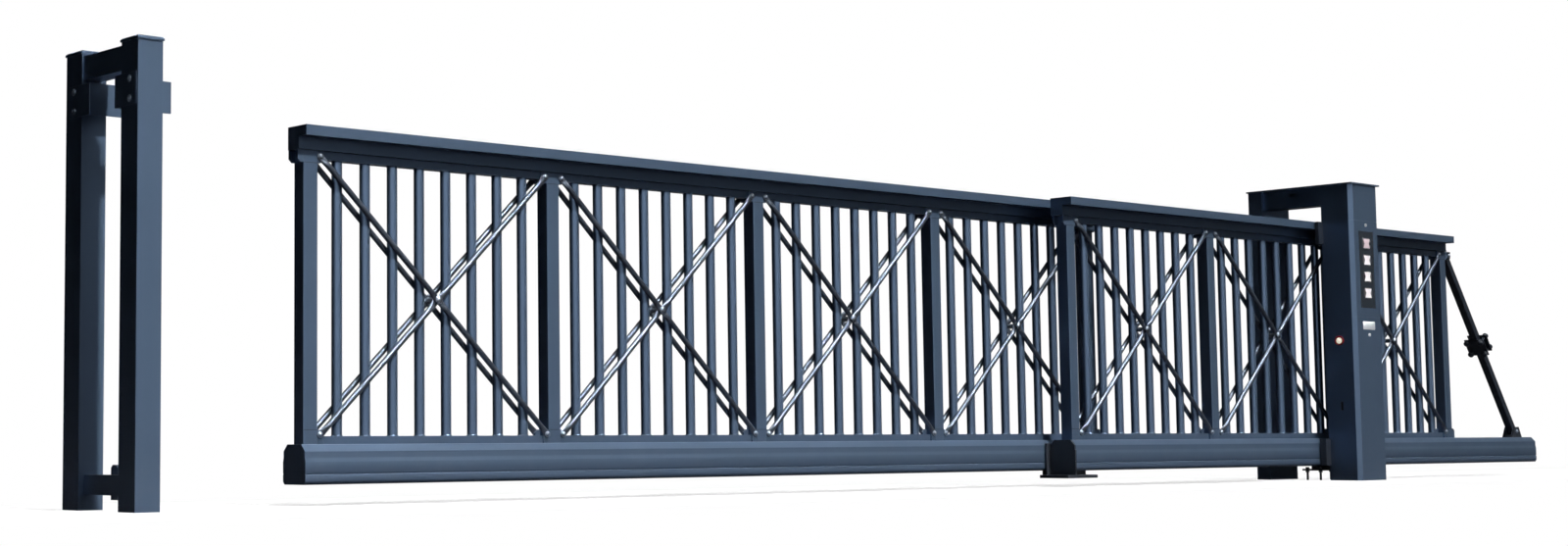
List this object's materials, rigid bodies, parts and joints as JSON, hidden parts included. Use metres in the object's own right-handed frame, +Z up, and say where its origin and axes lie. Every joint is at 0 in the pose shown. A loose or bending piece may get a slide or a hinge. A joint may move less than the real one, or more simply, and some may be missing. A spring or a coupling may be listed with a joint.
{
  "type": "sliding gate",
  "caption": "Telescopic cantilever sliding gate with vertical round bars, crossed tie rods, a catch portal and a drive portal.",
  "frame": {"origin": "centre of the drive column's foot, on the ground", "axes": "+X along the gate from the catch portal to the drive portal, +Y away from the street side, +Z up"},
  "size_m": [12.497, 0.9165, 2.085],
  "materials": {
    "frame_paint": "anthracite blue-grey powder coat",
    "black_paint": "black satin paint",
    "rod_steel": "brushed stainless steel",
    "roller_plastic": "hard roller plastic",
    "panel_gloss": "black gloss",
    "lamp_lens": "pale lamp lens",
    "lock_chrome": "polished",
    "cell_rim": "red plastic",
    "cell_lens": "cream lens"
  },
  "bodies": {
    "portals": {"carriage_front": "black_paint", "carriage_front_rollers": "roller_plastic", "carriage_rear": "black_paint", "carriage_rear_rollers": "roller_plastic", "catch_bottom_beam": "frame_paint", "catch_guide_front": "frame_paint", "catch_guide_rear": "frame_paint", "catch_post_caps": "frame_paint", "catch_post_front": "frame_paint", "catch_post_rear": "frame_paint", "catch_stop_lug": "frame_paint", "catch_top_beam": "frame_paint", "drive_beam": "frame_paint", "drive_cap_plate": "frame_paint", "drive_column": "frame_paint", "drive_rear_column": "frame_paint", "lamp_panel": "panel_gloss", "lock_cylinders": "lock_chrome", "lower_guide_block": "black_paint", "photocell_lens": "cell_lens", "photocell_rim": "cell_rim", "service_cover_lower": "frame_paint", "service_cover_upper": "frame_paint", "signal_lamps": "lamp_lens", "upper_guide_block": "black_paint"},
    "near_leaf": {"link_bracket": "black_paint", "link_plate": "black_paint", "link_rollers": "roller_plastic", "near_bar_channels": "frame_paint", "near_bars_1": "frame_paint", "near_bars_2": "frame_paint", "near_bars_3": "frame_paint", "near_bottom_rail": "frame_paint", "near_cross_rods_1": "rod_steel", "near_cross_rods_2": "rod_steel", "near_cross_rods_3": "rod_steel", "near_posts": "frame_paint", "near_top_rail": "frame_paint", "strut_clamp": "black_paint", "strut_foot_ears": "black_paint", "strut_head_ears": "black_paint", "tail_strut": "black_paint"},
    "far_leaf": {"far_bar_channels": "frame_paint", "far_bars_1": "frame_paint", "far_bars_2": "frame_paint", "far_bars_3": "frame_paint", "far_bars_4": "frame_paint", "far_bottom_rail": "frame_paint", "far_cross_rods_1": "rod_steel", "far_cross_rods_2": "rod_steel", "far_cross_rods_3": "rod_steel", "far_cross_rods_4": "rod_steel", "far_posts": "frame_paint", "far_top_rail": "frame_paint"}
  },
  "joints": [
    {"name": "near_leaf_slide", "type": "slide", "parent": "portals", "child": "near_leaf", "axis": [1, 0, 0], "range_m": [-0.31, 2.57]},
    {"name": "far_leaf_slide", "type": "slide", "parent": "near_leaf", "child": "far_leaf", "axis": [1, 0, 0], "range_m": [-0.62, 5.14]}
  ],
  "couplings": [
    {"joint": "far_leaf_slide", "follows": "near_leaf_slide", "ratio": 2}
  ]
}
